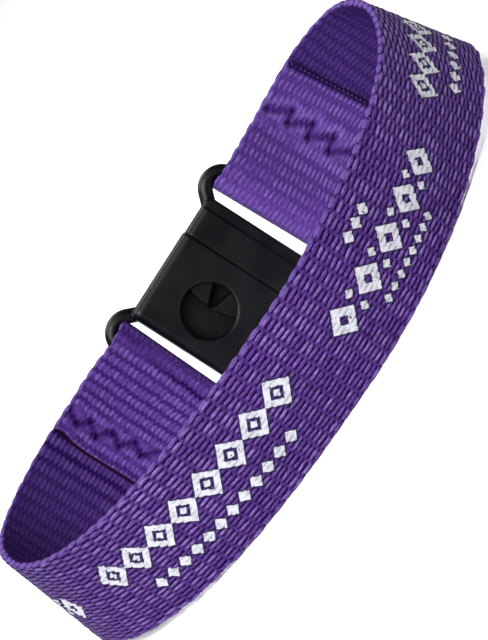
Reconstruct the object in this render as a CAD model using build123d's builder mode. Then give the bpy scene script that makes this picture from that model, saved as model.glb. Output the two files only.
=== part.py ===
from build123d import *
from math import cos, sin, radians
import os

# Flat-woven wristband with a black two-part clasp, lying on its side.
# Millimetres. X runs along the loop, Y from the front of the loop to the clasp,
# Z up through the width of the strap. The origin is at the middle of its footprint.

# strap
band_width = 15.0
band_thickness = 1.0
loop_length = 81.8
loop_depth = 41.0
end_lift = 3.6

# folded ends of the strap
plug_tail_length = 15.8
socket_tail_length = 14.0
layer_gap = 0.08
fold_slack = 0.85
bar_clearance = 0.12

# clasp
clasp_offset = 1.8
clasp_lean = 11.2
body_length = 18.3
body_overhang = 0.45
body_thickness = 4.1
body_corner = 1.1
body_edge = 1.0
plug_inset = 0.15
seam_offset = 3.45
seam_gap = 0.12
bar_diameter = 1.95
bail_bend = 2.2
bail_length = 5.0
bail_root = 137
bail_shank = 2.0
slot_clearance = 0.5

# window and cavity of the socket
window_radius = 3.6
window_offset = 3.25
window_chamfer = 0.25
cavity_height = 2.0
cavity_depth = 11.1
cavity_wall = 1.95

# prongs and step of the plug
prong_clearance = 0.15
prong_reach = 6.25
prong_back_cut = 1.5
prong_root = 0.75
slit_mouth = 2.1
slit_tip = 0.1
slit_bevel = 0.45
step_length = 1.65
step_depth = 0.4

# derived places in the clasp's own plane: X along the strap, Y up, Z to the wrist
pick_tolerance = 0.01
half_width = band_width / 2
half_wall = band_thickness / 2
bar_radius = bar_diameter / 2
bar_place = body_length / 2 + bail_length - bar_radius
bend_place = bar_place - bail_bend
bend_height = half_width + slot_clearance + bar_radius - bail_bend
bail_half = bend_height + bail_bend + bar_radius
fold_inner = bar_radius + bar_clearance
fold_middle = fold_inner + half_wall
fold_outer = fold_inner + band_thickness
fold_place = bar_place - bar_radius - fold_slack + fold_inner
body_half = half_width + body_overhang
layer_step = band_thickness + layer_gap

# Sections of the strap, from the plug's bar round the front to the socket's bar.
# run: which stretch the section is on; along: its share of that stretch, from the bar
# to the end of the tail, on to the loop's end, or from the middle of the front;
# back: share of the loop's depth, from the clasp's middle plane to the front;
# rise: share of the end lift; lean: degrees that the top edge leans in to the wrist
sections = [
    # run, along, back, rise, lean
    ("plug tail", 0.36, -0.046, 0.70, -9.5),
    ("plug tail", 0.69, -0.059, 0.78, -6.0),
    ("plug tail", 1.00, -0.060, 0.86, -2.2),
    ("plug end", 0.34, -0.028, 0.93, 1.2),
    ("plug end", 0.61, 0.020, 0.97, 5.0),
    ("plug end", 0.84, 0.085, 1.00, 8.6),
    ("plug end", 0.97, 0.170, 0.97, 11.6),
    ("plug end", 1.00, 0.262, 0.90, 13.2),
    ("right front", 0.985, 0.372, 0.77, 12.6),
    ("right front", 0.920, 0.500, 0.52, 8.0),
    ("right front", 0.800, 0.640, 0.27, 1.6),
    ("right front", 0.650, 0.765, 0.12, -2.6),
    ("right front", 0.450, 0.885, 0.03, -4.0),
    ("right front", 0.225, 0.970, 0.01, -5.6),
    ("right front", 0.040, 1.000, 0.01, -7.2),
    ("left front", 0.150, 0.982, 0.01, -6.6),
    ("left front", 0.400, 0.923, 0.01, -4.4),
    ("left front", 0.620, 0.828, 0.05, -2.0),
    ("left front", 0.810, 0.690, 0.17, 0.6),
    ("left front", 0.935, 0.540, 0.38, 4.2),
    ("left front", 0.993, 0.385, 0.60, 6.8),
    ("socket end", 1.00, 0.265, 0.73, 7.2),
    ("socket end", 0.95, 0.155, 0.79, 6.0),
    ("socket end", 0.80, 0.060, 0.81, 3.6),
    ("socket end", 0.58, -0.004, 0.81, 0.8),
    ("socket end", 0.32, -0.046, 0.80, -2.2),
    ("socket tail", 1.00, -0.066, 0.79, -5.2),
    ("socket tail", 0.74, -0.061, 0.79, -7.6),
    ("socket tail", 0.38, -0.045, 0.78, -9.8),
]

# How far the inner layer of each folded end stands off the strap, row by row from
# the bar to its cut end, as a share of what it does at the bar
tail_apart = [1.00, 1.00, 0.36, 0.00, 0.00]

clasp_height = (bail_half - bar_radius) * cos(radians(clasp_lean)) + bar_radius
outward = Vector(0, cos(radians(clasp_lean)), -sin(radians(clasp_lean)))


def bar_row(side, along):
    """The strap's wall beside a bar, on the outer side of the clasp."""
    middle = Vector(side * along, 0, clasp_height) + outward * fold_middle
    return middle, -clasp_lean


def strap_row(run, along, back, rise, lean):
    """The middle of the strap's wall at one row of the table, and its lean."""
    plug_reach = loop_length / 2 - clasp_offset
    socket_reach = loop_length / 2 + clasp_offset
    plug_tail_end = bar_place + plug_tail_length
    socket_tail_end = bar_place + socket_tail_length
    across = {
        "plug tail": bar_place + along * plug_tail_length,
        "plug end": plug_tail_end + along * (plug_reach - plug_tail_end),
        "right front": along * plug_reach,
        "left front": -along * socket_reach,
        "socket end": -socket_tail_end - along * (socket_reach - socket_tail_end),
        "socket tail": -bar_place - along * socket_tail_length,
    }
    height = half_width * cos(radians(lean)) + half_wall * abs(sin(radians(lean)))
    middle = Vector(across[run], -back * loop_depth, rise * end_lift + height)
    return middle, lean


rows = [bar_row(1, fold_place), bar_row(1, bar_place)]
rows += [strap_row(*section) for section in sections]
rows += [bar_row(-1, bar_place), bar_row(-1, fold_place)]


def heading(index):
    """The strap's direction at a row, along the circle through it and its neighbours."""
    if index < 2 or index > len(rows) - 3:
        return Vector(1, 0, 0)
    before = rows[index][0] - rows[index - 1][0]
    after = rows[index + 1][0] - rows[index][0]
    before = Vector(before.X, before.Y, 0)
    after = Vector(after.X, after.Y, 0)
    return (before / before.length**2 + after / after.length**2).normalized()


def wall_plane(index, inward=0.0):
    """A plane across the strap: X points out of the loop, Y up the strap's width."""
    middle, lean = rows[index]
    way = heading(index)
    level = Vector(-way.Y, way.X, 0)
    out = level * cos(radians(lean)) + Vector(0, 0, sin(radians(lean)))
    return Plane(origin=footprint + middle - out * inward, x_dir=out, z_dir=way)


# the footprint's middle goes to the origin
footprint = Vector(0, 0, 0)
corners = []
for index in range(len(rows)):
    plane = wall_plane(index)
    for out in (-half_wall, half_wall):
        for up in (-half_width, half_width):
            corners.append(plane.from_local_coords((out, up, 0)))
middle_x = (max(c.X for c in corners) + min(c.X for c in corners)) / 2
middle_y = (max(c.Y for c in corners) + min(c.Y for c in corners)) / 2
footprint = Vector(-middle_x, -middle_y, 0)
clasp_plane = Plane(
    origin=footprint + Vector(0, 0, clasp_height),
    x_dir=(1, 0, 0),
    z_dir=-outward,
)


def tail_plane(index, apart):
    """A plane across the inner layer of a folded end."""
    spread = 2 * fold_middle - layer_step
    return wall_plane(index, layer_step + apart * spread)


def fold_plane(side):
    """A plane across a fold, looking up the strap's width."""
    return Plane(
        origin=clasp_plane.from_local_coords((side * fold_place, 0, 0)),
        x_dir=(side, 0, 0),
        z_dir=clasp_plane.y_dir,
    )


with BuildPart() as band:
    # the loop's wall
    for index in range(len(rows)):
        with BuildSketch(wall_plane(index)):
            Rectangle(band_thickness, band_width)
    loft()
    # the inner layers of the two folded ends
    for first, step in ((0, 1), (len(rows) - 1, -1)):
        for row, apart in enumerate(tail_apart):
            with BuildSketch(tail_plane(first + step * row, apart)):
                Rectangle(band_thickness, band_width)
        loft()
    # the folds round the bars
    for side in (1, -1):
        with BuildSketch(fold_plane(side)):
            Circle(fold_outer)
            Circle(fold_inner, mode=Mode.SUBTRACT)
            with Locations((fold_outer, 0)):
                Rectangle(2 * fold_outer, 2 * fold_outer, mode=Mode.SUBTRACT)
        extrude(amount=half_width, both=True)


def clasp_place(shape):
    """Where a shape's middle is in the clasp's own plane."""
    return clasp_plane.to_local_coords(shape.center())


def plate_corners(edges, side):
    """The two upright corners of a clasp half at its bail."""
    upright = edges.filter_by(Axis(clasp_plane.origin, clasp_plane.z_dir))
    return upright.sort_by(Axis.X)[-2:] if side > 0 else upright.sort_by(Axis.X)[:2]


def plate_rims(edges, seam):
    """The edges round both flat faces of a clasp half, all but those at the seam."""
    rims = []
    for edge in edges:
        place = clasp_place(edge)
        on_face = abs(abs(place.Z) - body_thickness / 2) < pick_tolerance
        if on_face and abs(place.X - seam) > pick_tolerance:
            rims.append(edge)
    return rims


def slit_edges(edges):
    """The edges along the slit between the prongs, on the wrist side."""
    found = []
    for edge in edges:
        place = clasp_place(edge)
        on_face = abs(place.Z - cavity_height / 2 + prong_clearance) < pick_tolerance
        if on_face and abs(place.Y) < slit_mouth and edge.length > prong_reach / 2:
            found.append(edge)
    return found


def bail_line(side):
    """The middle line of a bail: shank, bend, bar, bend and shank."""
    root = radians(bail_root)
    root_x = side * (bend_place + bail_bend * cos(root))
    root_y = bend_height + bail_bend * sin(root)
    foot_x = root_x - side * bail_shank * sin(root)
    foot_y = root_y + bail_shank * cos(root)
    facing = 0 if side > 0 else 180
    with BuildLine(clasp_plane) as line:
        Line((foot_x, foot_y), (root_x, root_y))
        upper = (side * bend_place, bend_height)
        CenterArc(upper, bail_bend, facing + side * bail_root, -side * bail_root)
        Line((side * bar_place, bend_height), (side * bar_place, -bend_height))
        lower = (side * bend_place, -bend_height)
        CenterArc(lower, bail_bend, facing, -side * bail_root)
        Line((root_x, -root_y), (foot_x, -foot_y))
    return line.line


with BuildPart() as clasp_socket:
    # plate
    seam = seam_offset - seam_gap / 2
    with BuildSketch(clasp_plane):
        with Locations(((seam - body_length / 2) / 2, 0)):
            Rectangle(seam + body_length / 2, 2 * body_half)
    extrude(amount=body_thickness / 2, both=True)
    fillet(plate_corners(clasp_socket.edges(), -1), radius=body_corner)
    fillet(plate_rims(clasp_socket.edges(), seam), radius=body_edge)
    # bail
    bail = bail_line(-1)
    with BuildSketch(Plane(origin=bail @ 0, z_dir=bail % 0)):
        Circle(bar_radius)
    sweep(path=bail)
    # cavity, open at the seam
    with BuildSketch(clasp_plane):
        with Locations((seam - cavity_depth / 2, 0)):
            Rectangle(cavity_depth, 2 * (body_half - cavity_wall))
    extrude(amount=cavity_height / 2, both=True, mode=Mode.SUBTRACT)
    # round window on the wrist side, down into the cavity
    with BuildSketch(clasp_plane):
        with Locations((-window_offset, 0)):
            Circle(window_radius)
    extrude(amount=body_thickness, mode=Mode.SUBTRACT)
    with BuildSketch(clasp_plane.offset(body_thickness / 2 - window_chamfer)):
        with Locations((-window_offset, 0)):
            Circle(window_radius)
    extrude(amount=window_chamfer, taper=-45, mode=Mode.SUBTRACT)

with BuildPart() as clasp_plug:
    # plate
    seam = seam_offset + seam_gap / 2
    plug_half = body_half - plug_inset
    with BuildSketch(clasp_plane):
        with Locations(((seam + body_length / 2) / 2, 0)):
            Rectangle(body_length / 2 - seam, 2 * plug_half)
    extrude(amount=body_thickness / 2, both=True)
    fillet(plate_corners(clasp_plug.edges(), 1), radius=body_corner)
    fillet(plate_rims(clasp_plug.edges(), seam), radius=body_edge)
    # lower step beside the bail, on both faces
    for face in (1, -1):
        with BuildSketch(clasp_plane.offset(face * (body_thickness / 2 - step_depth))):
            with Locations((body_length / 2 - step_length / 2, 0)):
                Rectangle(step_length, 3 * plug_half)
        extrude(amount=face * 2 * step_depth, mode=Mode.SUBTRACT)
    # bail
    bail = bail_line(1)
    with BuildSketch(Plane(origin=bail @ 0, z_dir=bail % 0)):
        Circle(bar_radius)
    sweep(path=bail)
    # prongs, with a slit between them that narrows to the tips
    tip = seam_offset - prong_reach
    root = seam + prong_root
    mouth = slit_mouth + (slit_mouth - slit_tip) * (root - seam_offset) / prong_reach
    prong_half = body_half - cavity_wall - prong_clearance
    for up in (1, -1):
        with BuildSketch(clasp_plane) as prong:
            with BuildLine():
                Polyline(
                    (root, up * mouth),
                    (tip, up * slit_tip),
                    (tip + 0.1 * prong_back_cut, up * 0.25 * prong_half),
                    (tip + 0.4 * prong_back_cut, up * 0.6 * prong_half),
                    (tip + prong_back_cut, up * prong_half),
                    (root, up * prong_half),
                    close=True,
                )
            make_face()
        extrude(amount=cavity_height / 2 - prong_clearance, both=True)
    chamfer(slit_edges(clasp_plug.edges()), length=slit_bevel)

os.makedirs("parts", exist_ok=True)
band.part.label = "band"
clasp_socket.part.label = "clasp_socket"
clasp_plug.part.label = "clasp_plug"
export_step(band.part, "parts/band.step")
export_step(clasp_socket.part, "parts/clasp_socket.step")
export_step(clasp_plug.part, "parts/clasp_plug.step")
for piece in (band, clasp_socket, clasp_plug):
    print(piece.part.label, piece.part.bounding_box(), piece.part.volume, len(piece.part.solids()))
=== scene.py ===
import bpy
import math
import random
from bisect import bisect_right
from mathutils import Matrix, Vector


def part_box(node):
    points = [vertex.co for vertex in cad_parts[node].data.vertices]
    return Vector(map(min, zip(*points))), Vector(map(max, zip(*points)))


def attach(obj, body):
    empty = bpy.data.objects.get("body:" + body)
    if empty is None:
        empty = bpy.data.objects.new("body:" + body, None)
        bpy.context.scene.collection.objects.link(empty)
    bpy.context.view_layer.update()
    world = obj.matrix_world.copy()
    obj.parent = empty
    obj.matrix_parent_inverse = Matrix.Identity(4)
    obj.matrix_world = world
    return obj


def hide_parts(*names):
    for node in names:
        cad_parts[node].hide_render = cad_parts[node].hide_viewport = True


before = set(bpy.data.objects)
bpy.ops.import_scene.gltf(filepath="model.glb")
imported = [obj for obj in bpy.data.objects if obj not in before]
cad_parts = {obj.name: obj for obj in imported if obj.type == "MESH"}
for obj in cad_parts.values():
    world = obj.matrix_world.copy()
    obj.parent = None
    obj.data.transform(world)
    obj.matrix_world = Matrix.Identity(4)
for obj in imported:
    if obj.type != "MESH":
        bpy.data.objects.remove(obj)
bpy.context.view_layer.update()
mm = 0.001
print("packed model loaded")

# The strap's route, from the same sizes as its solid
strap = {
    "width": 15.0 * mm,
    "thickness": 1.0 * mm,
    "loopLength": 81.8 * mm,
    "loopDepth": 41.0 * mm,
    "endLift": 3.6 * mm,
    "plugTail": 15.8 * mm,
    "socketTail": 14.0 * mm,
    "layerGap": 0.08 * mm,
    "foldSlack": 0.85 * mm,
    "barClearance": 0.12 * mm,
    "tailApart": [1.00, 1.00, 0.36, 0.00, 0.00],  # shares of the fold's opening, from the bar to the cut end
    "routeStep": 0.3 * mm,
    "foldSteps": 12,  # in the half turn round a bar
}
clasp = {
    "offset": 1.8 * mm,
    "lean": 11.2,  # degrees
    "bodyLength": 18.3 * mm,
    "barDiameter": 1.95 * mm,
    "bailLength": 5.0 * mm,
    "slotClearance": 0.5 * mm,
}
sections = [
    # run, along, back, rise, lean: shares of the run, the loop's depth and the lift, and degrees
    ("plug tail", 0.36, -0.046, 0.70, -9.5),
    ("plug tail", 0.69, -0.059, 0.78, -6.0),
    ("plug tail", 1.00, -0.060, 0.86, -2.2),
    ("plug end", 0.34, -0.028, 0.93, 1.2),
    ("plug end", 0.61, 0.020, 0.97, 5.0),
    ("plug end", 0.84, 0.085, 1.00, 8.6),
    ("plug end", 0.97, 0.170, 0.97, 11.6),
    ("plug end", 1.00, 0.262, 0.90, 13.2),
    ("right front", 0.985, 0.372, 0.77, 12.6),
    ("right front", 0.920, 0.500, 0.52, 8.0),
    ("right front", 0.800, 0.640, 0.27, 1.6),
    ("right front", 0.650, 0.765, 0.12, -2.6),
    ("right front", 0.450, 0.885, 0.03, -4.0),
    ("right front", 0.225, 0.970, 0.01, -5.6),
    ("right front", 0.040, 1.000, 0.01, -7.2),
    ("left front", 0.150, 0.982, 0.01, -6.6),
    ("left front", 0.400, 0.923, 0.01, -4.4),
    ("left front", 0.620, 0.828, 0.05, -2.0),
    ("left front", 0.810, 0.690, 0.17, 0.6),
    ("left front", 0.935, 0.540, 0.38, 4.2),
    ("left front", 0.993, 0.385, 0.60, 6.8),
    ("socket end", 1.00, 0.265, 0.73, 7.2),
    ("socket end", 0.95, 0.155, 0.79, 6.0),
    ("socket end", 0.80, 0.060, 0.81, 3.6),
    ("socket end", 0.58, -0.004, 0.81, 0.8),
    ("socket end", 0.32, -0.046, 0.80, -2.2),
    ("socket tail", 1.00, -0.066, 0.79, -5.2),
    ("socket tail", 0.74, -0.061, 0.79, -7.6),
    ("socket tail", 0.38, -0.045, 0.78, -9.8),
]

halfWidth = strap["width"] / 2
halfWall = strap["thickness"] / 2
barRadius = clasp["barDiameter"] / 2
barPlace = clasp["bodyLength"] / 2 + clasp["bailLength"] - barRadius
foldInner = barRadius + strap["barClearance"]
foldMiddle = foldInner + halfWall
foldPlace = barPlace - barRadius - strap["foldSlack"] + foldInner
layerStep = strap["thickness"] + strap["layerGap"]
claspLean = math.radians(clasp["lean"])
claspHeight = (halfWidth + clasp["slotClearance"] + barRadius) * math.cos(claspLean) + barRadius
outward = Vector((0, math.cos(claspLean), -math.sin(claspLean)))

# the clasp's own nodes say where its middle stands
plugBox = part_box("clasp_plug")
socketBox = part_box("clasp_socket")
footprint = Vector((
    plugBox[1].x - clasp["bodyLength"] / 2 - clasp["bailLength"],
    (socketBox[0].y + socketBox[1].y) / 2,
    0,
))
claspMiddle = footprint + Vector((0, 0, claspHeight))


def wallRows():  # middle of the strap's wall and its lean, from the plug's bar to the socket's
    plugReach = strap["loopLength"] / 2 - clasp["offset"]
    socketReach = strap["loopLength"] / 2 + clasp["offset"]
    plugTailEnd = barPlace + strap["plugTail"]
    socketTailEnd = barPlace + strap["socketTail"]
    besideClasp = claspMiddle + outward * foldMiddle
    rows = [(besideClasp + Vector((x, 0, 0)), -claspLean) for x in (foldPlace, barPlace)]
    for run, along, back, rise, lean in sections:
        across = {
            "plug tail": barPlace + along * strap["plugTail"],
            "plug end": plugTailEnd + along * (plugReach - plugTailEnd),
            "right front": along * plugReach,
            "left front": -along * socketReach,
            "socket end": -socketTailEnd - along * (socketReach - socketTailEnd),
            "socket tail": -barPlace - along * strap["socketTail"],
        }[run]
        lean = math.radians(lean)
        height = halfWidth * math.cos(lean) + halfWall * abs(math.sin(lean))
        middle = Vector((across, -back * strap["loopDepth"], rise * strap["endLift"] + height))
        rows.append((footprint + middle, lean))
    rows += [(besideClasp - Vector((x, 0, 0)), -claspLean) for x in (barPlace, foldPlace)]
    return rows


def wallFrames():  # middle, outward normal and upward direction at each row
    rows = wallRows()
    frames = []
    for index, (middle, lean) in enumerate(rows):
        way = Vector((1, 0, 0))  # two rows beside each bar lie straight
        if 2 <= index <= len(rows) - 3:
            before = middle - rows[index - 1][0]
            after = rows[index + 1][0] - middle
            before.z = after.z = 0
            way = (before / before.length_squared + after / after.length_squared).normalized()
        out = Vector((-way.y, way.x, 0)) * math.cos(lean) + Vector((0, 0, math.sin(lean)))
        frames.append((middle, out, way.cross(out)))
    return frames


def foldFrames(side):  # round a bar, from the wrist side to the outer side
    centre = claspMiddle + Vector((side * foldPlace, 0, 0))
    up = Vector((0, math.sin(claspLean), math.cos(claspLean)))
    frames = []
    for step in range(1, strap["foldSteps"]):
        turn = math.pi * step / strap["foldSteps"]
        normal = Vector((-side * math.sin(turn), 0, 0)) - outward * math.cos(turn)
        frames.append((centre + normal * foldMiddle, normal, up))
    return frames


def tailFrames(walls):  # inner layer of a folded end, from the bar to its cut end
    spread = 2 * foldMiddle - layerStep
    frames = []
    for (middle, out, up), apart in zip(walls, strap["tailApart"]):
        frames.append((middle - out * (layerStep + apart * spread), -out, up))
    return frames


def smoothRoute(frames):  # cubic spans through the frames, and the distance along them
    gaps = [(b[0] - a[0]).length for a, b in zip(frames, frames[1:])]
    slopes = [[(b[i] - a[i]) / gap for i in range(3)] for a, b, gap in zip(frames, frames[1:], gaps)]
    tangents = [slopes[0]]
    for index in range(1, len(gaps)):
        share = gaps[index - 1] / (gaps[index - 1] + gaps[index])
        tangents.append([slopes[index - 1][i].lerp(slopes[index][i], share) for i in range(3)])
    tangents.append(slopes[-1])
    route = []
    for index, gap in enumerate(gaps):
        steps = max(1, round(gap / strap["routeStep"]))
        for step in range(steps):
            t = step / steps
            start, end = frames[index], frames[index + 1]
            point, normal, up = [
                start[i] * (2 * t**3 - 3 * t**2 + 1)
                + end[i] * (3 * t**2 - 2 * t**3)
                + tangents[index][i] * gap * (t**3 - 2 * t**2 + t)
                + tangents[index + 1][i] * gap * (t**3 - t**2)
                for i in range(3)
            ]
            route.append((point, normal.normalized(), up.normalized()))
    route.append(frames[-1])
    places = [0.0]
    for a, b in zip(route, route[1:]):
        places.append(places[-1] + (b[0] - a[0]).length)
    return places, route


walls = wallFrames()
plugTailFrames = tailFrames(walls)[::-1]
socketTailFrames = tailFrames(walls[::-1])
routeFrames = plugTailFrames + foldFrames(1) + walls + foldFrames(-1)[::-1] + socketTailFrames
routePlaces, route = smoothRoute(routeFrames)
strapLength = routePlaces[-1]


def distanceTo(frameMiddle):  # how far along the strap a point of its route lies
    nearest = min(range(len(route)), key=lambda index: (route[index][0] - frameMiddle).length)
    return routePlaces[nearest]


plugBarAt = distanceTo(walls[1][0])
socketBarAt = distanceTo(walls[-2][0])
tailRows = len(strap["tailApart"])
besidePlugCut = distanceTo(walls[tailRows - 1][0])  # on the wall that the tail is sewn to
besideSocketCut = distanceTo(walls[-tailRows][0])
foldsAt = [distanceTo(frames[len(frames) // 2][0]) for frames in (foldFrames(1), foldFrames(-1))]
farthest = [pick(range(len(route)), key=lambda index: route[index][0].x) for pick in (min, max)]
turnsAt = [routePlaces[index] for index in farthest]
print("strap route", round(strapLength / mm, 1), "mm, bar to bar", round((socketBarAt - plugBarAt) / mm, 1))


def placeOnStrap(along, across, height):  # along the strap, up its width and off its middle
    overrun = max(-along, along - strapLength)
    if overrun > 0:  # past its solid's end a tail runs on along the wall
        onWall = besidePlugCut + overrun if along < 0 else besideSocketCut - overrun
        return placeOnStrap(onWall, across, -layerStep - height)
    index = min(bisect_right(routePlaces, along) - 1, len(route) - 2)
    share = (along - routePlaces[index]) / (routePlaces[index + 1] - routePlaces[index])
    point, normal, up = [route[index][i].lerp(route[index + 1][i], share) for i in range(3)]
    return point + up * across + normal * height


# Weave: bars of warp lie side by side in a stack, and the next stack's are half a bar up
weave = {
    "stackLength": 1.875 * mm,
    "bars": 23,
    "barPitch": 0.64 * mm,
    "spread": 6.0,  # per metre: the bars are wider towards the upper edge
    "relief": 0.36 * mm,
    "innerRelief": 0.14 * mm,
    "seam": 0.55,  # height left where two stacks meet
    "ribbedSeam": 0.24,  # the same where the cloth is squeezed into ribs
    "pressed": 0.42,  # share of the relief left on the tails and folds
    "pressedReach": 2.5 * mm,
    "bent": 0.62,  # the same where the strap turns round its ends
    "bentReach": 9.0 * mm,
    "foldedShare": 0.3,  # of what the tails keep, at the bars themselves
    "foldedReach": 2.6 * mm,
    "plainLevel": 0.68,
    "tailLightLevels": (0.83, 0.70),  # the plain level on the plug's tail and the socket's, raised as painted light
    "tailFrom": 1.0 * mm,  # past its bar the cloth turns into a tail's from here
    "tailOver": 2.0 * mm,
    "litCrowns": 0.35,  # a power: where the relief is pressed its tops keep their painted highlight
    "turnedCrowns": 2.6,  # but the painted highlight fades where the strap turns round its ends
    "turnedShade": 0.05,  # and the plain weave is painted that much darker there, as shade
    "turnedReach": 15.0 * mm,
    "softGlintReach": 34.0 * mm,  # this near a turn the filaments' painted glints are weaker
    "tilt": 0.22,  # share of a bar's pitch that it may lean by
    "unevenness": 0.30,
    "jitter": 0.24 * mm,
    "scallop": 0.17 * mm,
    "scallopInset": 0.3,  # between scallops the edge draws in by this share
    "lastGap": 0.15 * mm,  # no line of points is nearer than this to the last cut
    "seed": 7,
    "rows": [
        # share along a stack, bar's shoulder, height between bars and of the bars, how far it interlocks
        (0.00, 0.25, 0.00, 0.00, 1.0),
        (0.09, 0.22, 0.22, 0.80, 0.9),
        (0.30, 0.16, 0.00, 1.00, 0.5),
        (0.70, 0.16, 0.00, 1.00, -0.5),
        (0.91, 0.22, 0.22, 0.80, -0.9),
    ],
    "softShoulder": 0.32,
    "interlock": 0.20 * mm,  # how far a bar's end reaches between the next stack's bars
    "ribGap": 0.60,  # in ribs the gaps are shallower and the ends lower
    "ribEnds": 0.42,
    "ribs": (0.55, 1.25),  # how much the plug's tail and the socket's are squeezed into ribs
    "innerRibs": 0.7,  # the same on the wrist side
    "gatheredRibs": 0.6,  # and how much more it is where it is gathered
    "ribLength": 1.5 * mm,  # a stack's length on the socket's tail
    "lowerSide": 0.66,  # height of a bar's shoulders and middle
    "middle": 0.93,
}
stitches = {
    "thread": 0.20 * mm,
    "depth": 0.46 * mm,
    "fromTops": (0.85 * mm, 0.5 * mm),  # on the plug's tail and the socket's
    "plugSteps": [(1.27 * mm, 3.0 * mm), (-1.52 * mm, 0.21 * mm)],  # towards the cut, and down
    "socketSteps": [(1.00 * mm, 1.55 * mm), (-1.50 * mm, 1.55 * mm)],
    "legs": 8,
    "fromPlugCut": 6.3 * mm,
    "fromSocketCut": 3.3 * mm,
    "legLength": 1.04,  # of the step from hole to hole
    "reach": 6.0 * mm,  # no dent is further from a row's first hole
    "dent": 0.35 * mm,
    "dentSpreads": (0.58 * mm, 0.64 * mm),
    "hole": 0.52 * mm,
    "holeSpread": 0.58 * mm,
    "puff": 0.32 * mm,
    "puffSpread": 1.4 * mm,
    "dentShade": 1.0,  # painted shade, per mm of dent
    "puffShade": 0.4,  # painted light: the cloth that puffs up is lighter by this share of it
    "squashed": 0.85,  # share of the weave's relief lost beside the thread
    "finerReach": 8.0 * mm,  # the cloth has more rows this near a cut end
}
cuts = {
    "plugReach": 1.7 * mm,  # how far the cloth runs on past its solid's end, at mid width
    "plugSlant": 0.16,  # the tail is cut askew
    "socketReach": -0.38 * mm,
    "socketSlant": -0.029,
    "socketBows": [(0.22 * mm, 2.2 * mm, 3.6 * mm), (-0.35 * mm, 6.2 * mm, 1.1 * mm)],  # by, at, over
    "slantReach": 12.0 * mm,
    "lift": 0.30 * mm,
    "liftReach": 4.0 * mm,
    "fused": (0.55 * mm, 0.30 * mm),  # the hot knife leaves a fused edge, widened into painted shade where the cut sits on the wall; on the plug's tail and the other
    "beadSize": 0.27 * mm,
    "beadPitch": 0.63 * mm,
    "beadInset": 0.10 * mm,
    "beadSink": 0.14 * mm,  # below the tail's face
}
folds = {
    "plugShift": (-0.23 * mm, 0.038),  # towards the clasp's middle: at mid width, and more per width
    "socketShift": (0.23 * mm, 0.043),
    "spreads": (0.085, 0.12),  # the cloth is that much wider where it is folded, at the plug and the socket
    "reach": 12.0 * mm,
    "bulge": 0.35 * mm,  # how far the turns at both ends stand out
    "bulgeFrom": 0.4,  # share of the way to the end where that starts
    "crease": [(1.9 * mm, 7.5 * mm), (2.5 * mm, 2.0 * mm), (3.5 * mm, -7.5 * mm)],  # past the socket's fold
    "creaseDepth": 0.26 * mm,
    "creaseSpread": 0.50 * mm,
    "creaseReach": 5.0 * mm,
    "ridge": 0.5,  # beside the crease, as a share of its depth
    "ridgeAt": 0.85 * mm,  # past the crease
    "gather": 0.5,  # the wall has stronger ribs where the socket's tail ends
    "gatherReach": 6.0 * mm,
}


def zigzag(start, fromTop, way, steps):  # corners of a sewn row, as distance along and across the strap
    spot = (start, halfWidth - fromTop)
    corners = [spot]
    for leg in range(stitches["legs"]):
        along, down = steps[leg % 2]
        spot = (spot[0] + way * along, spot[1] - down)
        corners.append(spot)
    return corners


sewnRows = [
    zigzag(stitches["fromPlugCut"], stitches["fromTops"][0], -1, stitches["plugSteps"]),
    zigzag(strapLength - stitches["fromSocketCut"], stitches["fromTops"][1], 1, stitches["socketSteps"]),
]


def bell(away, reach):  # 1 at a place, 0.37 at the reach and hardly anything at twice that
    return math.exp(-((away / reach) ** 2))


def easeOut(away, reach):  # 1 at a place, 0 past the reach
    share = min(max(1 - away / reach, 0.0), 1.0)
    return share * share * (3 - 2 * share)


def nearTurn(along, reach):  # 1 where the strap turns round at either end of the loop
    return max(bell(along - turn, reach) for turn in turnsAt)


def creaseAt(along, across):  # how far the socket's tail sinks along its crease
    pastFold = along - foldsAt[1]
    if not 0 < pastFold < folds["creaseReach"]:
        return 0.0
    (a0, w0), (a1, w1), (a2, w2) = folds["crease"]
    if across > w1:
        middle = a1 + (a0 - a1) * (across - w1) / (w0 - w1)
    else:
        middle = a1 + (a2 - a1) * (across - w1) / (w2 - w1)
    away = pastFold - middle
    ridge = folds["ridge"] * bell(away - folds["ridgeAt"], folds["creaseSpread"])
    return folds["creaseDepth"] * (bell(away, folds["creaseSpread"]) - ridge)


def dentAt(along, across):  # how far the cloth sinks at a sewn leg and its holes, and how near that is
    for corners, spread in zip(sewnRows, stitches["dentSpreads"]):
        if abs(along - corners[0][0]) < stitches["reach"]:
            nearest = holes = math.inf
            for (a0, w0), (a1, w1) in zip(corners, corners[1:]):
                length = math.hypot(a1 - a0, w1 - w0)
                share = ((along - a0) * (a1 - a0) + (across - w0) * (w1 - w0)) / length**2
                share = min(max(share, 0.0), 1.0)
                away = math.hypot(along - a0 - share * (a1 - a0), across - w0 - share * (w1 - w0))
                nearest = min(nearest, away)
                holes = min(holes, math.hypot(along - a0, across - w0))
            leg = bell(nearest, spread)
            near = bell(nearest, stitches["puffSpread"])
            dent = max(stitches["dent"] * leg, stitches["hole"] * bell(holes, stitches["holeSpread"]))
            return dent - stitches["puff"] * (near - leg), near
    return creaseAt(along, across), 0.0


def nearCut(along, across):  # the tails' skewed weave and their lift off the wall
    fromPlugCut, fromSocketCut = along, strapLength - along
    bow = sum(by * bell(across - at, over) for by, at, over in cuts["socketBows"])
    plugEnd = cuts["plugSlant"] * across - cuts["plugReach"]
    socketEnd = cuts["socketSlant"] * across + cuts["socketReach"] + bow
    skew = plugEnd * easeOut(fromPlugCut, cuts["slantReach"])
    skew += socketEnd * easeOut(fromSocketCut, cuts["slantReach"])
    lift = easeOut(min(fromPlugCut, fromSocketCut), cuts["liftReach"])
    return along + skew, cuts["lift"] * lift


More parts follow.
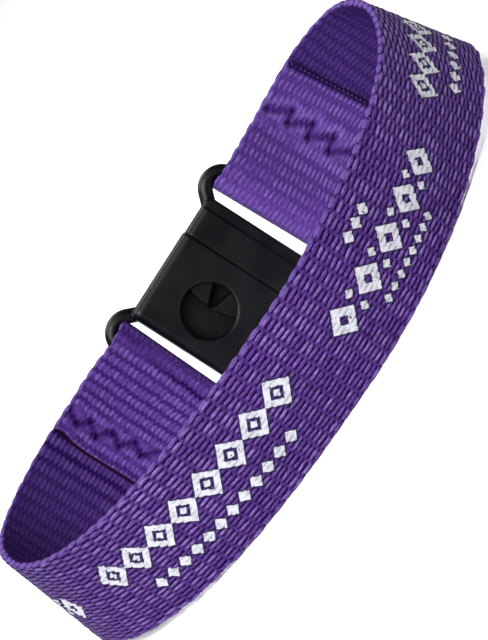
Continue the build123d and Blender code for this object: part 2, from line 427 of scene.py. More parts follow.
def placeOnCloth(along, across, height):  # as placeOnStrap, with the tails as they were sewn
    place, lift = nearCut(along, across)
    nearPlug = easeOut(abs(along - foldsAt[0]), folds["reach"])
    nearSocket = easeOut(abs(along - foldsAt[1]), folds["reach"])
    wider = 1 + folds["spreads"][0] * nearPlug + folds["spreads"][1] * nearSocket
    point = placeOnStrap(place, across * wider, height + lift)
    for side, near, name in ((-1, nearPlug, "plugShift"), (1, nearSocket, "socketShift")):
        shift, more = folds[name]
        point.x += side * near * (shift + more * across)
    past = max(abs(point.x) / (strap["loopLength"] / 2) - folds["bulgeFrom"], 0.0) / (1 - folds["bulgeFrom"])
    point.x += math.copysign(folds["bulge"] * past**2, point.x)
    return point


def tailShares(along):  # 1 on the plug's tail, 1 on the socket's
    pastPlugBar = (plugBarAt - along - weave["tailFrom"]) / weave["tailOver"]
    pastSocketBar = (along - socketBarAt - weave["tailFrom"]) / weave["tailOver"]
    return [min(max(share, 0.0), 1.0) for share in (pastPlugBar, pastSocketBar)]


def reliefLeft(along):  # 1 round the wrist, less where the strap is folded, sewn or bent
    inside = min(along - plugBarAt, socketBarAt - along) / weave["pressedReach"]
    share = min(max(inside, 0.0), 1.0)
    left = weave["pressed"] + (1 - weave["pressed"]) * share
    for turn in turnsAt:
        left *= 1 - (1 - weave["bent"]) * bell(along - turn, weave["bentReach"])
    for fold in foldsAt:
        left *= 1 - (1 - weave["foldedShare"]) * bell(along - fold, weave["foldedReach"])
    return left


def barProfile(step, shoulder, gap, odd):  # places and heights of four points across one bar's pitch
    low, middle = weave["lowerSide"], weave["middle"]
    if odd:
        return ((0.0, middle), (0.5 - shoulder, 1.0), (0.5, gap), (0.5 + shoulder, low))[step]
    return ((0.0, gap), (shoulder, low), (0.5, middle), (1.0 - shoulder, 1.0))[step]


def stackStarts():  # a rib on the socket's tail is shorter than a stack
    starts = [0.0]
    while starts[-1] < strapLength + weave["stackLength"]:
        shorter = (weave["ribLength"] - weave["stackLength"]) * tailShares(starts[-1])[1]
        starts.append(starts[-1] + weave["stackLength"] + shorter)
    return starts


def clothLines(starts):  # lines of points across the strap: the stack, its row and the place
    rows = weave["rows"]
    finerRows = rows[:2]
    for before, after in zip(rows[1:], rows[2:]):
        finerRows += [tuple((a + b) / 2 for a, b in zip(before, after)), after]
    lines = []
    for stack, (start, end) in enumerate(zip(starts, starts[1:])):
        sewn = min(start, strapLength - start) < stitches["finerReach"]
        for row in finerRows if sewn else rows:
            along = start + row[0] * (end - start)
            if along < strapLength - weave["lastGap"]:
                lines.append((stack, row, along))
    lines.append((lines[-1][0], rows[0], strapLength))
    return lines


def putInScene(name, data):
    thing = bpy.data.objects.new(name, data)
    bpy.context.scene.collection.objects.link(thing)
    return thing


def activate(piece):
    bpy.ops.object.select_all(action="DESELECT")
    piece.select_set(True)
    bpy.context.view_layer.objects.active = piece


def weaveStrap():
    maker = random.Random(weave["seed"])
    bars = weave["bars"]
    starts = stackStarts()
    lines = clothLines(starts)
    uneven = [[maker.random() for bar in range(bars + 1)] for start in starts]
    shifts = [[(maker.random() - 0.5) * weave["jitter"] for bar in range(bars + 1)] for start in starts]
    points, crownShades, tones, bends, spots = [], [], [], [], []

    def addPoint(line, bar, step, face):  # face is 1 on the outer side and -1 on the wrist side
        stack, row, along = line
        share, shoulder, gap, ends, interlock = row
        odd = stack % 2
        seam = share == 0
        left = reliefLeft(along)
        gathered = folds["gather"] * easeOut(abs(along - besideSocketCut), folds["gatherReach"])
        tails = tailShares(along)
        # the point's place in its bar, and its level between the gaps and the crowns
        if face > 0:
            shoulder = shoulder * left + weave["softShoulder"] * (1 - left)
            ribbed = sum(tail * ribs for tail, ribs in zip(tails, weave["ribs"]))
            place, level = barProfile(step, shoulder, gap + weave["ribGap"] * ribbed, odd)
        else:
            ribbed = weave["innerRibs"] + weave["gatheredRibs"] * gathered
            place, level = (0.5 * step, max((step + odd) % 2, weave["ribGap"] * ribbed))
        if seam:
            place = step / 4 if face > 0 else step / 2
            level = weave["seam"] + (weave["ribbedSeam"] - weave["seam"]) * ribbed
        tone = uneven[stack][min(bar + (odd and place > 0.5), bars)]
        if not seam:
            if ends < 1:
                ends -= weave["ribEnds"] * ribbed
            level *= ends * (1 - weave["unevenness"] * tone)
        # across the strap the bars lean a little, and those at its edges swell
        lean = weave["tilt"] * (uneven[stack][bars - bar] - 0.5) * (share - 0.5) * 2
        across = (bar + place + lean * (not seam) - bars / 2) * weave["barPitch"]
        across += weave["spread"] * (across**2 - halfWidth**2)
        if bar in (0, bars - 1):
            swell = weave["scallop"] * (math.sin(math.pi * share) - weave["scallopInset"])
            across += math.copysign(swell, across)
        # along the strap their ends interlock
        shift = shifts[stack][bar] * (1 - share) + shifts[stack + 1][bar] * share
        shift -= (1 if odd else -1) * weave["interlock"] * interlock * math.cos(2 * math.pi * place)
        spotAlong = min(max(along + shift, 0.0), strapLength)
        if along in (0.0, strapLength):
            spotAlong = along
        dent, near = dentAt(along, across) if face > 0 else (0.0, 0.0)
        left *= 1 - stitches["squashed"] * near
        relief = weave["relief"] * left if face > 0 else weave["innerRelief"] * (1 + gathered)
        height = halfWall - relief * (1 - level) - dent
        points.append(placeOnCloth(spotAlong, across, face * height))
        # what the material reads: painted light on the bars' tops and where the cloth puffs up, painted
        # shade in the gaps, dents and creases
        turned = nearTurn(along, weave["turnedReach"])
        plain = weave["plainLevel"]
        for tail, tailLightLevel in zip(tails, weave["tailLightLevels"]):
            plain += (tailLightLevel - weave["plainLevel"]) * tail
        if face > 0:
            plain -= weave["turnedShade"] * turned
        shown = left if face > 0 else weave["pressed"] * (1 + gathered)
        if level > plain:
            shown = shown ** (weave["litCrowns"] + (weave["turnedCrowns"] - weave["litCrowns"]) * turned)
        crownShade = plain + (level - plain) * shown
        crownShades.append(crownShade * (1 - stitches["dentShade"] * max(dent, stitches["puffShade"] * dent) / mm))
        tones.append(tone)
        bends.append(nearTurn(along, weave["softGlintReach"]))
        inked = (across + halfWidth) / strap["width"]
        spots.append((spotAlong / strapLength, inked if face > 0 else 2 - inked))

    for line in lines:
        for bar in range(bars):
            for step in range(4):
                addPoint(line, bar, step, 1)
        addPoint(line, bars, 0, 1)
        addPoint(line, bars, 0, -1)
        for bar in reversed(range(bars)):
            for step in (1, 0):
                addPoint(line, bar, step, -1)
    ring = len(points) // len(lines)
    faces = []
    for start in range(0, len(points) - ring, ring):
        for step in range(ring):
            a = start + step
            b = start + (step + 1) % ring
            faces.append((a, b, b + ring, a + ring))
    faces.append(tuple(reversed(range(ring))))
    faces.append(tuple(range(len(points) - ring, len(points))))
    mesh = bpy.data.meshes.new("wovenStrap")
    mesh.from_pydata(points, [], faces)
    for name, values in (("crownShade", crownShades), ("tone", tones), ("bend", bends)):
        mesh.attributes.new(name, "FLOAT", "POINT").data.foreach_set("value", values)
    # the map runs along the strap, up its outer side from 0 to 1 and down its wrist side from 1 to 2
    uv = mesh.uv_layers.new(name="weave")
    for face in mesh.polygons:
        inner = any(spots[vertex][1] > 1.0 for vertex in face.vertices)
        for loop in face.loop_indices:
            place, inked = spots[mesh.loops[loop].vertex_index]
            if inner and inked < 0.5:
                inked += 2.0
            uv.data[loop].uv = (place, inked)
    mesh.update()
    piece = putInScene("wovenStrap", mesh)
    activate(piece)
    bpy.ops.object.shade_smooth()
    print("strap woven,", len(mesh.polygons), "faces")
    return piece


# Selvage: the weft turns round the edge of the strap in slanted loops
selvage = {
    "loopPitch": 1.875 * mm,
    "loopSize": (1.80 * mm, 0.44 * mm, 0.90 * mm),
    "slant": 7,  # degrees
    "fromEdge": 0.22 * mm,
    "scallop": 0.02 * mm,
}


def addGrain(segments):  # a ball one metre across with its poles along X, left open in edit mode
    bpy.ops.object.select_all(action="DESELECT")
    bpy.ops.mesh.primitive_uv_sphere_add(segments=segments, ring_count=10, radius=0.5)
    bpy.ops.object.mode_set(mode="EDIT")
    bpy.ops.mesh.select_all(action="SELECT")
    bpy.ops.transform.rotate(value=math.pi / 2, orient_axis="Y", center_override=(0, 0, 0))
    return bpy.context.active_object


def repeatPiece(piece, count, step):  # copies in a row
    row = piece.modifiers.new("row", "ARRAY")
    row.use_relative_offset = False
    row.use_constant_offset = True
    row.constant_offset_displace = step
    row.count = count
    bpy.ops.object.modifier_apply(modifier="row")


def joinPieces(pieces):  # into the first
    bpy.ops.object.select_all(action="DESELECT")
    for piece in pieces:
        piece.select_set(True)
    bpy.context.view_layer.objects.active = pieces[0]
    bpy.ops.object.join()
    return pieces[0]


def layAlongStrap(piece, name):  # bends a flat piece: X along the strap, Y up its width, Z off its middle
    piece.name = piece.data.name = name
    for vertex in piece.data.vertices:
        vertex.co = placeOnCloth(*vertex.co)
    piece.data.flip_normals()  # laying it mirrors it
    bpy.ops.object.shade_smooth()


def makeSelvage():
    sides = []
    for side in (1, -1):
        loop = addGrain(10)
        bpy.ops.transform.resize(value=selvage["loopSize"])
        slant = math.radians(side * selvage["slant"])
        bpy.ops.transform.rotate(value=slant, orient_axis="Y", center_override=(0, 0, 0))
        place = side * (halfWidth - selvage["fromEdge"])
        bpy.ops.transform.translate(value=(selvage["loopPitch"] / 2, place, 0))
        bpy.ops.object.mode_set(mode="OBJECT")
        repeatPiece(loop, int(strapLength / selvage["loopPitch"]), (selvage["loopPitch"], 0, 0))
        for vertex in loop.data.vertices:
            odd = int(vertex.co.x / selvage["loopPitch"]) % 2
            vertex.co.y += side * selvage["scallop"] * (1 if odd else -1)
        sides.append(loop)
    piece = joinPieces(sides)
    layAlongStrap(piece, "selvageLoops")
    print("selvage loops laid,", len(piece.data.polygons), "faces")
    return piece


def makeStitches():  # one leg of thread, copied to every leg of both sewn rows
    firstLeg = addGrain(8)
    bpy.ops.object.mode_set(mode="OBJECT")
    legs = []
    for corners in sewnRows:
        for (a0, w0), (a1, w1) in zip(corners, corners[1:]):
            activate(firstLeg)
            bpy.ops.object.duplicate()
            leg = bpy.context.active_object
            middle = Vector(((a0 + a1) / 2, (w0 + w1) / 2, halfWall - stitches["depth"]))
            length = math.hypot(a1 - a0, w1 - w0) * stitches["legLength"]
            turn = Matrix.Rotation(math.atan2(w1 - w0, a1 - a0), 4, "Z")
            size = Matrix.Diagonal((length, stitches["thread"], stitches["thread"], 1))
            leg.data.transform(Matrix.Translation(middle) @ turn @ size)
            legs.append(leg)
    bpy.data.objects.remove(firstLeg)
    piece = joinPieces(legs)
    layAlongStrap(piece, "sewnRows")
    print("rows sewn,", len(legs), "legs")
    return piece


def makeFusedBeads():  # melted yarn ends along the plug tail's cut
    bpy.ops.object.select_all(action="DESELECT")
    bpy.ops.mesh.primitive_uv_sphere_add(segments=8, ring_count=6, radius=cuts["beadSize"] / 2)
    piece = bpy.context.active_object
    count = int(strap["width"] / cuts["beadPitch"])
    start = (cuts["beadInset"], -(count - 1) / 2 * cuts["beadPitch"], halfWall - cuts["beadSink"])
    bpy.ops.object.mode_set(mode="EDIT")
    bpy.ops.mesh.select_all(action="SELECT")
    bpy.ops.transform.translate(value=start)
    bpy.ops.object.mode_set(mode="OBJECT")
    repeatPiece(piece, count, (0, cuts["beadPitch"], 0))
    layAlongStrap(piece, "fusedBeads")
    print("cut end fused,", count, "beads")
    return piece


# Lip: the plug's shoulder reaches into the socket's mouth, so no light comes through their seam
lip = {
    "fromMiddle": 3.45 * mm,  # of the clasp, towards the plug
    "size": (0.90 * mm, 1.60 * mm, 15.3 * mm),
    "edge": 0.20 * mm,
}


def makeLip():
    bpy.ops.object.select_all(action="DESELECT")
    bpy.ops.mesh.primitive_cube_add(size=1.0)
    piece = bpy.context.active_object
    bpy.ops.object.mode_set(mode="EDIT")
    bpy.ops.mesh.select_all(action="SELECT")
    bpy.ops.transform.resize(value=lip["size"])
    bpy.ops.mesh.bevel(offset=lip["edge"], segments=2)
    bpy.ops.object.mode_set(mode="OBJECT")
    piece.data.transform(Matrix.Rotation(-claspLean, 4, "X"))
    piece.data.transform(Matrix.Translation(claspMiddle + Vector((lip["fromMiddle"], 0, 0))))
    piece.name = piece.data.name = "seamLip"
    print("seam lip set")
    return piece


def hexColor(code):  # sRGB hex to linear
    channels = [int(code[i:i + 2], 16) / 255 for i in (1, 3, 5)]
    linear = [c / 12.92 if c <= 0.04045 else ((c + 0.055) / 1.055) ** 2.4 for c in channels]
    return (*linear, 1.0)


mathNode = "ShaderNodeMath"
vectorNode = "ShaderNodeVectorMath"
rangeNode = "ShaderNodeMapRange"
mixNode = "ShaderNodeMix"
rampNode = "ShaderNodeValToRGB"
noiseNode = "ShaderNodeTexNoise"


def addNode(tree, kind, inputs=None, **settings):
    node = tree.nodes.new(kind)
    for name, value in settings.items():
        setattr(node, name, value)
    for key, value in (inputs or {}).items():
        if isinstance(value, bpy.types.Node):
            value = value.outputs[0]
        if isinstance(value, bpy.types.NodeSocket):
            tree.links.new(value, node.inputs[key])
        else:
            node.inputs[key].default_value = value
    return node


def makeMaterial(name, finish):  # the finish gives the shader's inputs
    material = bpy.data.materials.new(name)
    material.use_nodes = True
    tree = material.node_tree
    tree.nodes.clear()
    shader = addNode(tree, "ShaderNodeBsdfPrincipled", finish(tree))
    addNode(tree, "ShaderNodeOutputMaterial", {"Surface": shader})
    return material


# Printed pattern, in mm: a plain block of open lozenges, then one of pierced lozenges, and so on
inkPattern = {
    "repeat": 73.4,
    "fromBar": 61.7,  # where a pierced block starts, from the plug's bar
    "pierced": {"length": 27.2, "pitch": 5.44, "half": 2.05, "hole": 0.72, "height": 6.9},
    "between": {"half": 0.62, "apart": 1.15},
    "above": {"middle": 14.65, "length": 5.7, "pitch": 1.9, "half": 0.82, "height": 11.3},
    "below": {"middle": 13.9, "length": 12.8, "pitch": 1.6, "half": 0.6, "height": 3.6},
    "openFrom": 32.9,
    "open": {"length": 34.4, "pitch": 4.3, "half": 2.15, "stroke": 1.05, "core": 0.52, "height": 8.7},
    "under": {"middle": 50.125, "length": 25.8, "pitch": 2.15, "half": 0.86, "height": 4.3},
    "ends": (0.0, 180.9),  # no lozenge is cut by the fold
    "wander": 0.12,  # how far the edge of the print strays
    "edge": 0.05,
    "halo": (0.5, 0.15),  # beside the print the cloth is darker from here to here
}


def inkDepth(tree, along, across):  # how far inside the print a spot lies; all in mm
    def fromMiddle(place, pitch, height):  # lozenge distance to the nearest middle in a row
        fold = addNode(tree, mathNode, {0: place, 1: pitch / 2}, operation="PINGPONG")
        sideways = addNode(tree, mathNode, {0: pitch / 2, 1: fold}, operation="SUBTRACT")
        upwards = addNode(tree, mathNode, {0: across, 1: height}, operation="SUBTRACT")
        upwards = addNode(tree, mathNode, {0: upwards}, operation="ABSOLUTE")
        return addNode(tree, mathNode, {0: sideways, 1: upwards}, operation="ADD")

    def within(place, middle, length):  # how far inside a stretch of the strap
        away = addNode(tree, mathNode, {0: place, 1: middle}, operation="SUBTRACT")
        away = addNode(tree, mathNode, {0: away}, operation="ABSOLUTE")
        return addNode(tree, mathNode, {0: length / 2, 1: away}, operation="SUBTRACT")

    def smallRow(place, row):
        start = row["middle"] - row["length"] / 2
        start = addNode(tree, mathNode, {0: place, 1: start}, operation="SUBTRACT")
        away = fromMiddle(start, row["pitch"], row["height"])
        inside = addNode(tree, mathNode, {0: row["half"], 1: away}, operation="SUBTRACT")
        stretch = within(place, row["middle"], row["length"])
        return addNode(tree, mathNode, {0: inside, 1: stretch}, operation="MINIMUM")

    ink = inkPattern
    place = addNode(tree, mathNode, {0: along, 1: ink["fromBar"]}, operation="SUBTRACT")
    place = addNode(tree, mathNode, {0: place, 1: ink["repeat"]}, operation="FLOORED_MODULO")
    # pierced lozenges, with pairs of small ones between
    block = ink["pierced"]
    away = fromMiddle(place, block["pitch"], block["height"])
    inside = addNode(tree, mathNode, {0: block["half"], 1: away}, operation="SUBTRACT")
    pierced = addNode(tree, mathNode, {0: away, 1: block["hole"]}, operation="SUBTRACT")
    pierced = addNode(tree, mathNode, {0: inside, 1: pierced}, operation="MINIMUM")
    shifted = addNode(tree, mathNode, {0: place, 1: block["pitch"] / 2}, operation="ADD")
    inner = within(place, block["length"] / 2, block["length"] - block["pitch"] / 2)
    for side in (-1, 1):
        away = fromMiddle(shifted, block["pitch"], block["height"] + side * ink["between"]["apart"])
        small = addNode(tree, mathNode, {0: ink["between"]["half"], 1: away}, operation="SUBTRACT")
        small = addNode(tree, mathNode, {0: small, 1: inner}, operation="MINIMUM")
        pierced = addNode(tree, mathNode, {0: pierced, 1: small}, operation="MAXIMUM")
    stretch = within(place, block["length"] / 2, block["length"])
    pierced = addNode(tree, mathNode, {0: pierced, 1: stretch}, operation="MINIMUM")
    # open lozenges joined in a chain
    block = ink["open"]
    start = addNode(tree, mathNode, {0: place, 1: ink["openFrom"]}, operation="SUBTRACT")
    away = fromMiddle(start, block["pitch"], block["height"])
    inside = addNode(tree, mathNode, {0: block["half"], 1: away}, operation="SUBTRACT")
    rim = addNode(tree, mathNode, {0: block["stroke"], 1: inside}, operation="SUBTRACT")
    core = addNode(tree, mathNode, {0: block["core"], 1: away}, operation="SUBTRACT")
    chain = addNode(tree, mathNode, {0: inside, 1: rim}, operation="MINIMUM")
    chain = addNode(tree, mathNode, {0: chain, 1: core}, operation="MAXIMUM")
    stretch = within(start, block["length"] / 2, block["length"])
    chain = addNode(tree, mathNode, {0: chain, 1: stretch}, operation="MINIMUM")
    depth = addNode(tree, mathNode, {0: pierced, 1: chain}, operation="MAXIMUM")
    for name in ("above", "below", "under"):
        depth = addNode(tree, mathNode, {0: depth, 1: smallRow(place, ink[name])}, operation="MAXIMUM")
    return depth


def printMasks(tree, spot, printedSide, crownShade):  # where the ink lies, and the dark rim beside it
    wander = addNode(tree, noiseNode, {"Vector": spot, "Scale": 1.6, "Detail": 2.0})
    shift = addNode(tree, vectorNode, {0: wander.outputs["Color"], 1: (0.5, 0.5, 0.5)}, operation="SUBTRACT")
    stray = (inkPattern["wander"], inkPattern["wander"], 0)
    strayed = addNode(tree, vectorNode, {0: shift, 1: stray, 2: spot}, operation="MULTIPLY_ADD")
    inked = addNode(tree, "ShaderNodeSeparateXYZ", {0: strayed})
    fromBar = addNode(tree, mathNode, {0: inked.outputs["X"], 1: plugBarAt / mm}, operation="SUBTRACT")
    depth = inkDepth(tree, fromBar, inked.outputs["Y"])
    start, end = inkPattern["ends"]
    stretch = {0: fromBar, 1: (start + end) / 2, 2: (end - start) / 2}
    onPrint = addNode(tree, mathNode, stretch, operation="COMPARE")
    inkOnCrown = addNode(tree, rangeNode, {"Value": crownShade, "From Max": 0.22, "To Min": 0.45})
    printable = addNode(tree, mathNode, {0: printedSide, 1: inkOnCrown}, operation="MULTIPLY")
    printable = addNode(tree, mathNode, {0: printable, 1: onPrint}, operation="MULTIPLY")
    edge = inkPattern["edge"]
    mask = addNode(tree, rangeNode, {"Value": depth, "From Min": -edge, "From Max": edge})
    mask = addNode(tree, mathNode, {0: mask, 1: printable}, operation="MULTIPLY")
    # a few pinholes where the ink missed the weave
    pinholes = addNode(tree, noiseNode, {"Vector": spot, "Scale": 2.6, "Detail": 1.0})
    pinholes = addNode(tree, rangeNode, {"Value": pinholes, "From Min": 0.27, "From Max": 0.33})
    mask = addNode(tree, mathNode, {0: mask, 1: pinholes}, operation="MULTIPLY")
    outer, inner = inkPattern["halo"]
    halo = addNode(tree, rangeNode, {"Value": depth, "From Min": -outer, "From Max": -inner, "To Max": 0.9})
    halo = addNode(tree, mathNode, {0: halo, 1: printable}, operation="MULTIPLY")
    return mask, halo


def threadShades(tree, spot, printedSide):  # the filaments, and how light or dark they make the dye: their own tone and painted glints
    tone = addNode(tree, "ShaderNodeAttribute", attribute_name="tone").outputs["Fac"]
    bend = addNode(tree, "ShaderNodeAttribute", attribute_name="bend").outputs["Fac"]
    # filaments run along each bar: 0.02 mm apart, drawn nine times as coarse so that they show
    threadSpot = addNode(tree, vectorNode, {0: spot, 1: (1.7, 5.6, 1.0)}, operation="MULTIPLY")
    filaments = addNode(tree, noiseNode, {"Vector": threadSpot, "Scale": 1.0, "Detail": 2.0})
    patches = addNode(tree, noiseNode, {"Vector": spot, "Scale": 0.12, "Detail": 2.0})
    # the filaments' painted glints are weaker on the tails, the wrist side and the turns than on the rest of
    # the printed side
    unbent = addNode(tree, mathNode, {0: 1.0, 1: bend}, operation="SUBTRACT")
    lively = addNode(tree, mathNode, {0: printedSide, 1: unbent}, operation="MULTIPLY")
    streaks = {"Value": filaments, "From Min": 0.36, "From Max": 0.68}
    softGlints = addNode(tree, rangeNode, {**streaks, "To Min": 0.72, "To Max": 1.42})
    strongGlints = addNode(tree, rangeNode, {**streaks, "To Min": 0.52, "To Max": 1.78})
    streaksAndGlints = addNode(tree, mixNode, {"Factor": lively, 2: softGlints, 3: strongGlints})
    faded = {"Value": patches, "From Min": 0.3, "From Max": 0.7, "To Min": 0.93, "To Max": 1.07}
    patched = addNode(tree, rangeNode, faded)
    shade = addNode(tree, rangeNode, {"Value": tone, "To Min": 0.88, "To Max": 1.12})
    shade = addNode(tree, mathNode, {0: shade, 1: streaksAndGlints}, operation="MULTIPLY")
    shade = addNode(tree, mathNode, {0: shade, 1: patched}, operation="MULTIPLY")
    return filaments, shade


def wovenPolyester(tree):
    # polyester webbing, woven flat and screen printed: soft satin grains with painted light on their tops,
    # painted shade in the gaps, chalky ink
    uv = addNode(tree, "ShaderNodeUVMap", uv_map="weave")
    split = addNode(tree, "ShaderNodeSeparateXYZ", {0: uv})
    place = addNode(tree, mathNode, {0: split.outputs["X"], 1: strapLength / mm}, operation="MULTIPLY")
    across = addNode(tree, mathNode, {0: split.outputs["Y"], 1: strap["width"] / mm}, operation="MULTIPLY")
    spot = addNode(tree, "ShaderNodeCombineXYZ", {0: place, 1: across})
    crownShade = addNode(tree, "ShaderNodeAttribute", attribute_name="crownShade").outputs["Fac"]
    loop = {0: place, 1: (plugBarAt + socketBarAt) / 2 / mm, 2: (socketBarAt - plugBarAt) / 2 / mm}
    onLoop = addNode(tree, mathNode, loop, operation="COMPARE")
    outerFace = addNode(tree, mathNode, {0: split.outputs["Y"], 1: 1.0}, operation="LESS_THAN")
    printedSide = addNode(tree, mathNode, {0: outerFace, 1: onLoop}, operation="MULTIPLY")
    mask, halo = printMasks(tree, spot, printedSide, crownShade)
    filaments, shade = threadShades(tree, spot, printedSide)
    # the ramp paints shade into the gaps and light onto the bars' tops
    yarn = addNode(tree, rampNode, {"Fac": crownShade})
    ramp = yarn.color_ramp
    ramp.elements[0].color = hexColor("#03000C")
    ramp.elements[1].color = hexColor("#7F66A8")
    ramp.elements.new(0.4).color = hexColor("#1F0844")
    ramp.elements.new(0.75).color = hexColor("#533779")
    cloth = addNode(tree, vectorNode, {0: yarn, "Scale": shade}, operation="SCALE")
    # off the printed side the colour is bluer; the wrist side is painted darker as shade and the tails a
    # little lighter as painted light
    sideTintsAndShade = {"Factor": outerFace, 6: (0.74, 0.74, 0.86, 1), 7: (1.04, 1.04, 1.17, 1)}
    tint = addNode(tree, mixNode, sideTintsAndShade, data_type="RGBA").outputs[2]
    tint = addNode(tree, mixNode, {"Factor": printedSide, 6: tint, 7: (1, 1, 1, 1)}, data_type="RGBA")
    cloth = addNode(tree, vectorNode, {0: cloth, 1: tint.outputs[2]}, operation="MULTIPLY")
    # both cut ends are darker, the plug's softly: a fused edge and painted shade
    end = strapLength / mm
    plugEdge, socketEdge = [width / mm for width in cuts["fused"]]
    plugEnd = {"Value": place, "From Min": plugEdge, "From Max": 2 * plugEdge, "To Min": 0.88, "To Max": 0.0}
    socketEnd = {"Value": place, "From Min": end - 1.5 * socketEdge, "From Max": end - socketEdge}
    for fusedEdgeAndShade, code in ((plugEnd, "#150530"), (socketEnd, "#1E0822")):
        fused = addNode(tree, rangeNode, fusedEdgeAndShade)
        darker = {"Factor": fused, 6: cloth, 7: hexColor(code)}
        cloth = addNode(tree, mixNode, darker, data_type="RGBA").outputs[2]
    rimmed = addNode(tree, mixNode, {"Factor": halo, 6: cloth, 7: hexColor("#2A2146")}, data_type="RGBA")
    # the ink is painted lighter in the gaps than on the bars' tops, as painted light that hides the gaps'
    # shade
    inkLitInGaps = addNode(tree, rampNode, {"Fac": crownShade})
    inkLitInGaps.color_ramp.elements[0].color = hexColor("#DCDCE4")
    inkLitInGaps.color_ramp.elements[1].color = hexColor("#B6B6C0")
    coloured = addNode(tree, mixNode, {"Factor": mask, 6: rimmed.outputs[2], 7: inkLitInGaps}, data_type="RGBA")
    bump = addNode(tree, "ShaderNodeBump", {"Strength": 0.7, "Distance": 0.06 * mm, "Height": filaments})
    roughness = addNode(tree, rangeNode, {"Value": mask, "To Min": 0.45, "To Max": 0.66})
    return {
        "Base Color": coloured.outputs[2],
        "Roughness": roughness,
        "IOR": 1.55,
        "Specular IOR Level": 0.05,
        "Specular Tint": hexColor("#C9B4F0"),
        "Normal": bump,
    }


def edgeYarn(tree):
    # the same polyester yarn where the weft turns at the edge: lighter and fuzzier
    spot = addNode(tree, "ShaderNodeTexCoord").outputs["Object"]
    # nine fibres to a millimetre, drawn about five times as coarse as they are so that they show
    fibres = addNode(tree, noiseNode, {"Vector": spot, "Scale": 9 / mm, "Detail": 2.0})
    tint = addNode(tree, rampNode, {"Fac": fibres})
    tint.color_ramp.elements[0].position = 0.3
    tint.color_ramp.elements[0].color = hexColor("#1E0C46")
    tint.color_ramp.elements[1].position = 0.7
    tint.color_ramp.elements[1].color = hexColor("#7A5AAE")
    bump = addNode(tree, "ShaderNodeBump", {"Strength": 0.4, "Distance": 0.05 * mm, "Height": fibres})
    return {"Base Color": tint, "Roughness": 0.6, "IOR": 1.55, "Specular IOR Level": 0.1, "Normal": bump}


def sewingThread(tree):
    # bonded polyester sewing thread, dyed to match and pulled tight; painted much darker than the cloth as
    # the shade of its dents, slightly glossy
    spot = addNode(tree, "ShaderNodeTexCoord").outputs["Object"]
    # the twist of its plies, seven to a millimetre
    twist = addNode(tree, noiseNode, {"Vector": spot, "Scale": 7 / mm})
    tint = addNode(tree, rampNode, {"Fac": twist})
    tint.color_ramp.elements[0].color = hexColor("#14062C")
    tint.color_ramp.elements[1].color = hexColor("#24104A")
    return {"Base Color": tint, "Roughness": 0.8, "IOR": 1.55, "Specular IOR Level": 0.05}


def mouldedAcetal(tree):
    # black acetal from a polished mould: satin, with faint handling marks
    spot = addNode(tree, "ShaderNodeTexCoord").outputs["Object"]
    # the skin's faint waves are 0.2 mm apart, and the handling marks 4 mm long
    skin = addNode(tree, noiseNode, {"Vector": spot, "Scale": 5.2 / mm, "Detail": 3.0})
    marks = addNode(tree, noiseNode, {"Vector": spot, "Scale": 0.26 / mm, "Detail": 4.0})
    dulled = {"Value": marks, "From Min": 0.35, "From Max": 0.65, "To Min": 0.34, "To Max": 0.46}
    roughness = addNode(tree, rangeNode, dulled)
    # moulded edges are never sharp: the light runs along them
    rounded = addNode(tree, "ShaderNodeBevel", {"Radius": 0.45 * mm}, samples=8)
    bumps = {"Strength": 0.12, "Distance": 0.02 * mm, "Height": skin, "Normal": rounded}
    bump = addNode(tree, "ShaderNodeBump", bumps)
    return {
        "Base Color": hexColor("#040409"),
        "Roughness": roughness,
        "IOR": 1.48,
        "Specular IOR Level": 0.27,
        "Normal": bump,
    }


def whiteCard(tree):
    # matte white photographer's card
    return {"Base Color": hexColor("#FAFAFA"), "Roughness": 0.9}


wovenStrap = weaveStrap()
selvageLoops = makeSelvage()
sewnThread = makeStitches()
fusedBeads = makeFusedBeads()
seamLip = makeLip()
wovenStrap.data.materials.append(makeMaterial("wovenPolyester", wovenPolyester))
yarn = makeMaterial("edgeYarn", edgeYarn)
for piece in (selvageLoops, fusedBeads):
    piece.data.materials.append(yarn)
sewnThread.data.materials.append(makeMaterial("sewingThread", sewingThread))
plastic = makeMaterial("mouldedAcetal", mouldedAcetal)
seamLip.data.materials.append(plastic)
for name in ("clasp_socket", "clasp_plug"):
    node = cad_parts[name]
    node.data.materials.clear()
    node.data.materials.append(plastic)
print("materials made")

for piece in (wovenStrap, selvageLoops, sewnThread, fusedBeads):
    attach(piece, "root")
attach(seamLip, "root")
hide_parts("band")

# Camera, as the photograph was taken
view = {
    "elevation": 15.54,
    "azimuth": -4.20,
    "roll": 56.48,
    "distance": 253.8 * mm,
    "lookAt": (-1.62 * mm, 0.0, 10.39 * mm),
    "pixelsPerMm": 8.421,  # at the look point
    "imageHeight": 640,
}


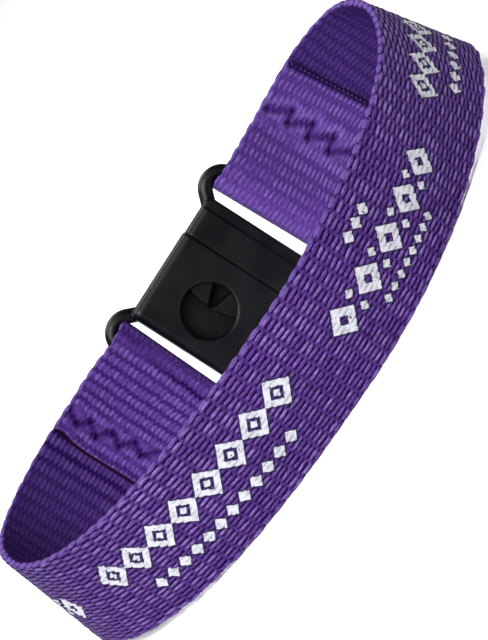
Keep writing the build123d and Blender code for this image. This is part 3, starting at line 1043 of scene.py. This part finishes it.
def placeCamera():
    elevation, azimuth, roll = [math.radians(view[name]) for name in ("elevation", "azimuth", "roll")]
    back = Vector((
        math.sin(azimuth) * math.cos(elevation),
        -math.cos(azimuth) * math.cos(elevation),
        math.sin(elevation),
    ))
    level = Vector((math.cos(azimuth), math.sin(azimuth), 0))
    upright = back.cross(level)
    right = level * math.cos(roll) - upright * math.sin(roll)
    up = level * math.sin(roll) + upright * math.cos(roll)
    data = bpy.data.cameras.new("photoCamera")
    camera = putInScene("photoCamera", data)
    data.sensor_fit = "VERTICAL"
    data.sensor_height = 36.0
    focal = view["pixelsPerMm"] * view["distance"] / mm  # in pixels
    data.lens = focal / view["imageHeight"] * data.sensor_height
    data.clip_start = 0.01
    camera.rotation_euler = Matrix((right, up, back)).transposed().to_euler()
    camera.location = Vector(view["lookAt"]) + back * view["distance"]
    bpy.context.scene.camera = camera


# Soft studio light on a white card
studio = {
    "softboxes": [
        # name, place, size, power in watts
        ("keySoftbox", (-0.13, -0.36, 0.28), (0.22, 0.22), 1.0),
        ("topSoftbox", (-0.05, 0.22, 0.40), (0.40, 0.08), 1.6),
    ],
    "overhead": 2.8,  # strength of the sun, and of the surroundings below
    "overheadSpread": 36,  # degrees
    "overheadTilt": (29, -20),  # about X and Y
    "surroundings": 0.13,
    "cardSize": 3.0,
}


def addSoftbox(name, place, size, power):  # turned towards the wristband
    data = bpy.data.lights.new(name, "AREA")
    data.shape = "RECTANGLE"
    data.size, data.size_y = size
    data.energy = power
    light = putInScene(name, data)
    light.location = place
    light.rotation_euler = Vector(place).to_track_quat("Z", "Y").to_euler()


def addOverhead():
    data = bpy.data.lights.new("overhead", "SUN")
    data.energy = studio["overhead"]
    data.angle = math.radians(studio["overheadSpread"])
    light = putInScene("overhead", data)
    tiltX, tiltY = studio["overheadTilt"]
    light.rotation_euler = (math.radians(tiltX), math.radians(tiltY), 0)


def lightSurroundings():
    world = bpy.data.worlds.new("studio")
    world.use_nodes = True
    background = world.node_tree.nodes["Background"]
    background.inputs["Color"].default_value = hexColor("#FFFFFF")
    background.inputs["Strength"].default_value = studio["surroundings"]
    bpy.context.scene.world = world


placeCamera()
for name, place, size, power in studio["softboxes"]:
    addSoftbox(name, place, size, power)
addOverhead()
lightSurroundings()
bpy.context.scene.view_settings.view_transform = "Standard"
bpy.ops.mesh.primitive_plane_add(size=studio["cardSize"], location=(0, 0, 0))
floor = bpy.context.active_object
floor.name = "floor"
floor.data.materials.append(makeMaterial("whiteCard", whiteCard))
print("camera, lights and floor placed")
